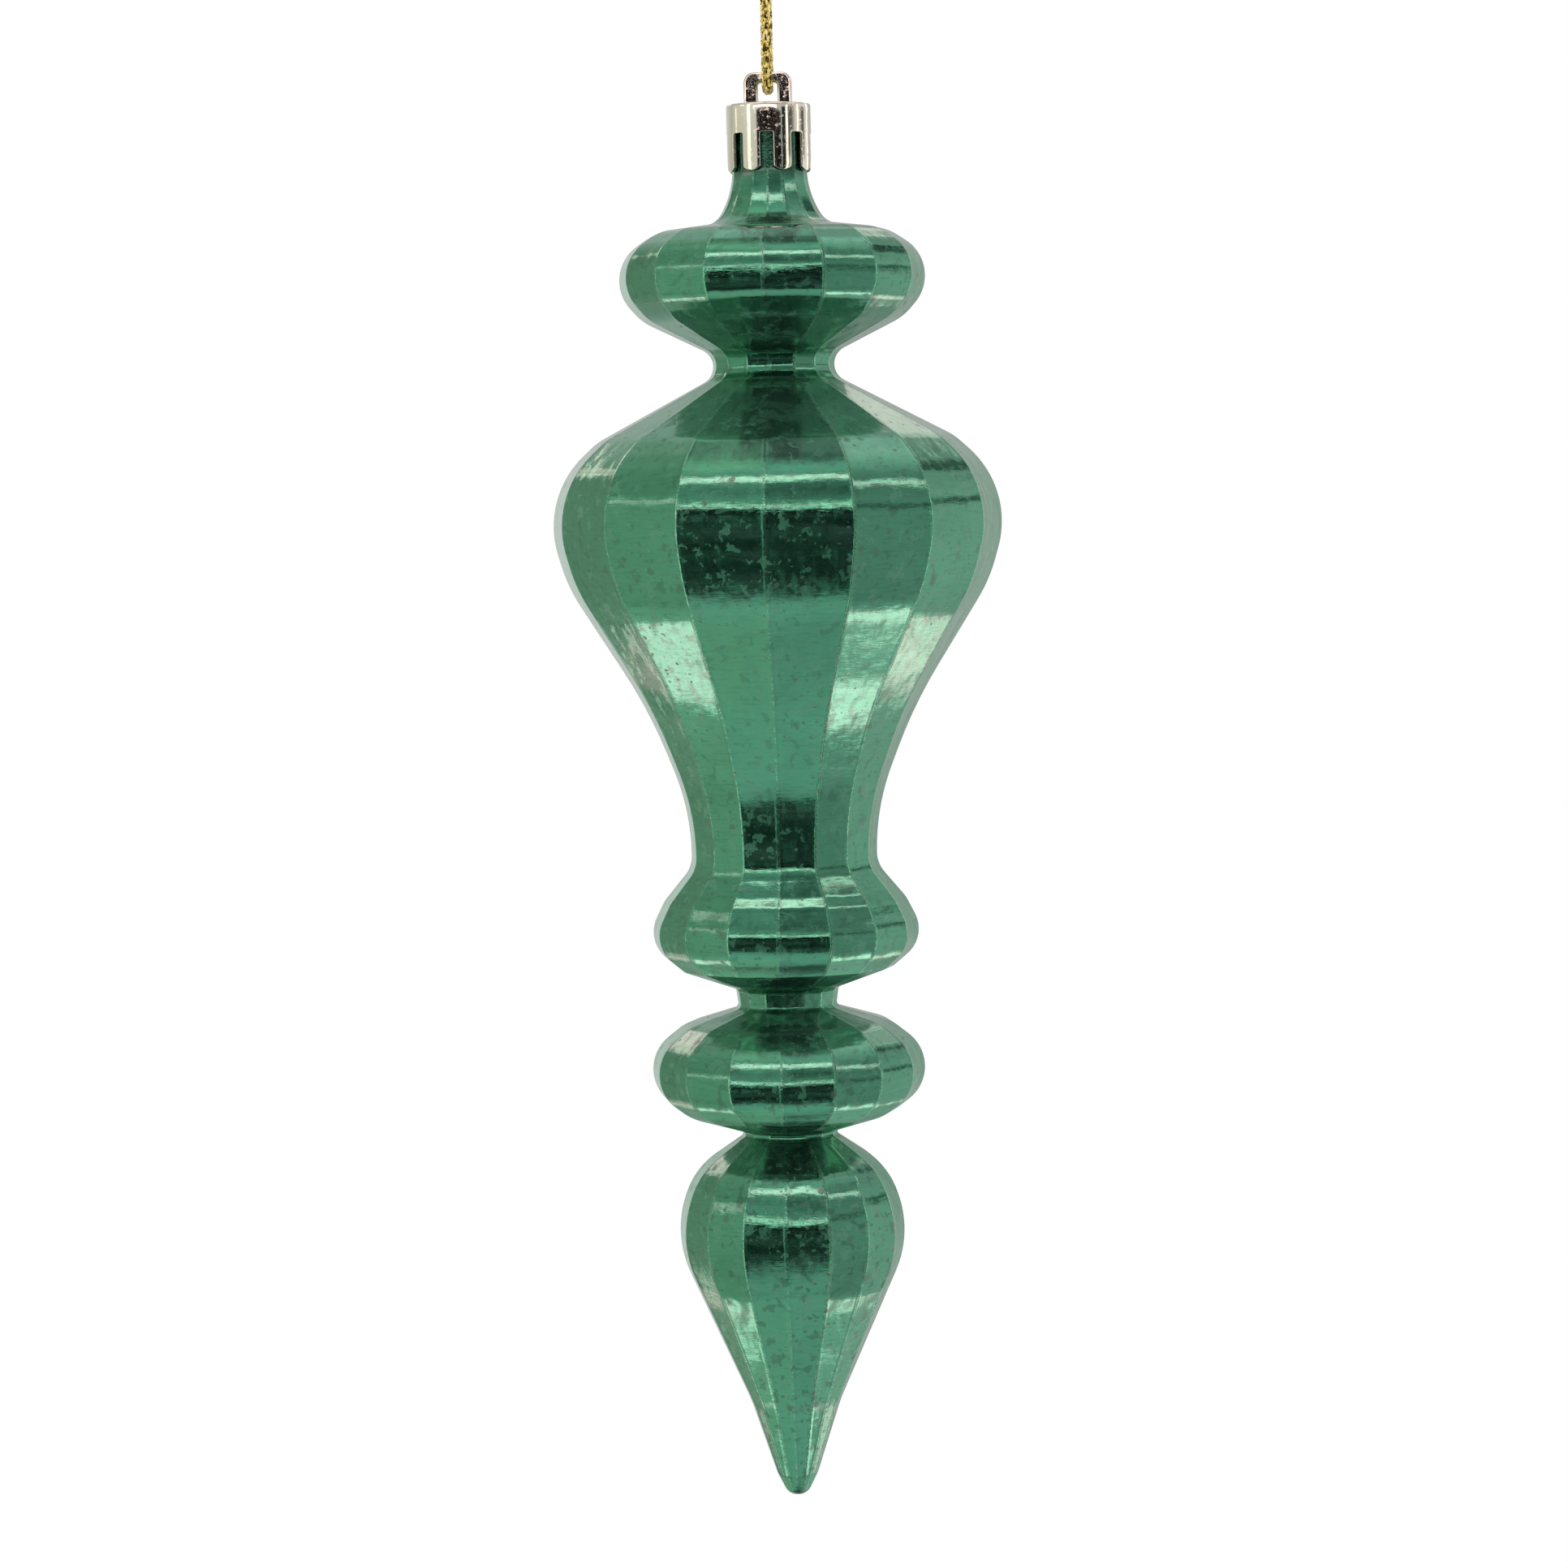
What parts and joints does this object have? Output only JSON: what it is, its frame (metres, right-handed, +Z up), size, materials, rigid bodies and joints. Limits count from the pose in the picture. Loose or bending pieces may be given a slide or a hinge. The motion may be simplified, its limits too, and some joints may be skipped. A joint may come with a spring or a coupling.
{
  "type": "hanging_finial_ornament",
  "caption": "Hollow faceted finial tree ornament in tinted mirror plastic, with a slotted hanger cap, an eye and a knotted loop of metallic cord",
  "frame": {"origin": "the middle of the underside of the eye's bar, where the cord or a hook bears", "axes": "+Z up, the eye opens along Y and its front faces -Y, +X to the right seen from the front"},
  "size_m": [0.0786, 0.0786, 0.3208],
  "materials": {
    "tinted_mirror": "tinted mirror with a fine mottle",
    "cap_silver": "vacuum metallised plastic",
    "cord_gold": "knitted metallic yarn"
  },
  "bodies": {
    "root": {"finial_body": "tinted_mirror", "hanger_cap": "cap_silver", "hanging_cord": "cord_gold", "cord_knot": "cord_gold"}
  },
  "joints": []
}
